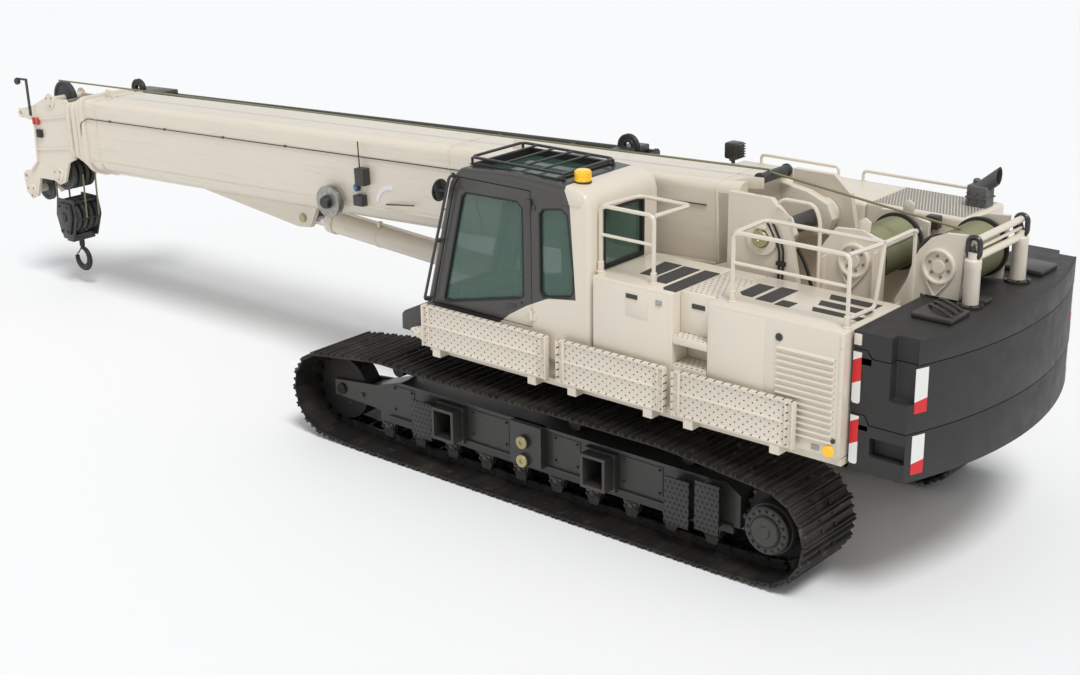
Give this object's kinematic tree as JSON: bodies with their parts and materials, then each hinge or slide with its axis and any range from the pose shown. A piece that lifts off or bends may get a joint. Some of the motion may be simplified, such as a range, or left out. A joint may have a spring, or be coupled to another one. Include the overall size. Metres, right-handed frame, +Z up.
{
  "type": "telescopic crawler crane",
  "caption": "Crawler crane with a telescopic boom, cab, folding walkways, winches, stacked counterweight, stowed lattice jib and sliding track frames.",
  "frame": {"origin": "on the ground, on the slewing axis, at the middle of the tracks", "axes": "+X forward along the stowed boom, +Y to the crane's left, +Z up"},
  "size_m": [11.9455, 3, 2.69],
  "materials": {
    "cream_paint": "gloss",
    "black_paint": "satin",
    "dark_steel": "satin",
    "track_steel": "matte",
    "weight_paint": "satin",
    "glass": "gloss",
    "rod_chrome": "gloss",
    "rope_steel": "satin",
    "seat_fabric": "matte",
    "grey_paint": "satin",
    "engine_iron": "satin",
    "sheave_plastic": "satin"
  },
  "bodies": {
    "lower": {"carbody": "black_paint", "slewing_ring": "dark_steel"},
    "left_crawler": {"left_track": "track_steel", "left_side_frame": "black_paint", "left_beams": "black_paint", "left_sprocket": "dark_steel", "left_idler": "dark_steel", "left_rollers": "dark_steel"},
    "right_crawler": {"right_track": "track_steel", "right_side_frame": "black_paint", "right_beams": "black_paint", "right_sprocket": "dark_steel", "right_idler": "dark_steel", "right_rollers": "dark_steel"},
    "upper": {"turntable": "cream_paint", "cab_shell": "cream_paint", "cab_glass": "glass", "operator_seat": "seat_fabric", "front_housing": "cream_paint", "rear_housing": "cream_paint", "deck_steps": "cream_paint", "engine_hood": "cream_paint", "engine": "engine_iron", "exhaust": "grey_paint", "search_light": "black_paint", "left_handrails": "cream_paint", "right_handrails": "cream_paint", "counterweight_lower": "weight_paint", "counterweight_middle": "weight_paint", "counterweight_upper": "weight_paint", "weight_lifts": "cream_paint", "winch_frame": "cream_paint"},
    "door": {"cab_door": "black_paint", "door_glass": "glass"},
    "front_step": {"walkway_front": "cream_paint"},
    "middle_step": {"walkway_middle": "cream_paint"},
    "rear_step": {"walkway_rear": "cream_paint"},
    "front_winch": {"front_drum": "rope_steel"},
    "rear_winch": {"rear_drum": "rope_steel"},
    "boom": {"boom_base": "cream_paint", "boom_bracket": "cream_paint", "jib": "black_paint", "cable_reel": "grey_paint"},
    "section_2": {"boom_section_2": "cream_paint"},
    "section_3": {"boom_section_3": "cream_paint"},
    "tip": {"boom_tip": "cream_paint", "boom_head": "cream_paint", "head_sheaves": "sheave_plastic"},
    "block": {"hoist_falls": "rope_steel", "hook_block": "black_paint"},
    "load_hook": {"hook": "black_paint"},
    "cylinder": {"lift_barrel": "cream_paint"},
    "rod": {"lift_rod": "rod_chrome"}
  },
  "joints": [
    {"name": "left_track_out", "type": "slide", "parent": "lower", "child": "left_crawler", "axis": [0, 1, 0], "range_m": [0, 0.6]},
    {"name": "right_track_out", "type": "slide", "parent": "lower", "child": "right_crawler", "axis": [0, -1, 0], "range_m": [0, 0.6]},
    {"name": "slew", "type": "hinge", "parent": "lower", "child": "upper", "pos_m": [0, 0, 1.055], "axis": [0, 0, 1], "continuous": true},
    {"name": "boom_lift", "type": "hinge", "parent": "upper", "child": "boom", "pos_m": [-1.55, 0, 2.28], "axis": [0, -1, 0], "range_deg": [0, 80]},
    {"name": "cylinder_swing", "type": "hinge", "parent": "upper", "child": "cylinder", "pos_m": [0.25, 0, 1.25], "axis": [0, -1, 0], "range_deg": [0, 87.22]},
    {"name": "cylinder_stroke", "type": "slide", "parent": "cylinder", "child": "rod", "axis": [0.9986, 0, 0.0536], "range_m": [0, 2.5973]},
    {"name": "boom_extend", "type": "slide", "parent": "boom", "child": "section_2", "axis": [0.999, 0, -0.0436], "range_m": [0, 6.8]},
    {"name": "extend_3", "type": "slide", "parent": "section_2", "child": "section_3", "axis": [0.999, 0, -0.0436], "range_m": [0, 6.8]},
    {"name": "extend_tip", "type": "slide", "parent": "section_3", "child": "tip", "axis": [0.999, 0, -0.0436], "range_m": [0, 6.8]},
    {"name": "block_swing", "type": "hinge", "parent": "tip", "child": "block", "pos_m": [7.75668, 0, 1.31313], "axis": [0, -1, 0], "range_deg": [-80, 0]},
    {"name": "hook_turn", "type": "hinge", "parent": "block", "child": "load_hook", "pos_m": [7.75668, 0, 0.56], "axis": [0, 0, 1], "continuous": true},
    {"name": "front_winch_turn", "type": "hinge", "parent": "upper", "child": "front_winch", "pos_m": [-2.26, 0, 2.205], "axis": [0, -1, 0], "continuous": true},
    {"name": "rear_winch_turn", "type": "hinge", "parent": "upper", "child": "rear_winch", "pos_m": [-2.935, 0, 2.285], "axis": [0, -1, 0], "continuous": true},
    {"name": "cab_door_swing", "type": "hinge", "parent": "upper", "child": "door", "pos_m": [-0.042, 1.384, 2], "axis": [0, 0, 1], "range_deg": [0, 85]},
    {"name": "front_walkway_fold", "type": "hinge", "parent": "upper", "child": "front_step", "pos_m": [0.41, 1.45, 1.13], "axis": [-1, 0, 0], "range_deg": [0, 90]},
    {"name": "middle_walkway_fold", "type": "hinge", "parent": "upper", "child": "middle_step", "pos_m": [-0.855, 1.45, 1.13], "axis": [-1, 0, 0], "range_deg": [0, 90]},
    {"name": "rear_walkway_fold", "type": "hinge", "parent": "upper", "child": "rear_step", "pos_m": [-1.95, 1.45, 1.13], "axis": [-1, 0, 0], "range_deg": [0, 90]}
  ],
  "couplings": [
    {"joint": "cylinder_swing", "follows": "boom_lift", "ratio": 1.0903},
    {"joint": "cylinder_stroke", "follows": "boom_lift", "m_per_rad": 1.8601},
    {"joint": "block_swing", "follows": "boom_lift", "ratio": -1},
    {"joint": "extend_3", "follows": "boom_extend", "ratio": 1},
    {"joint": "extend_tip", "follows": "boom_extend", "ratio": 1}
  ]
}
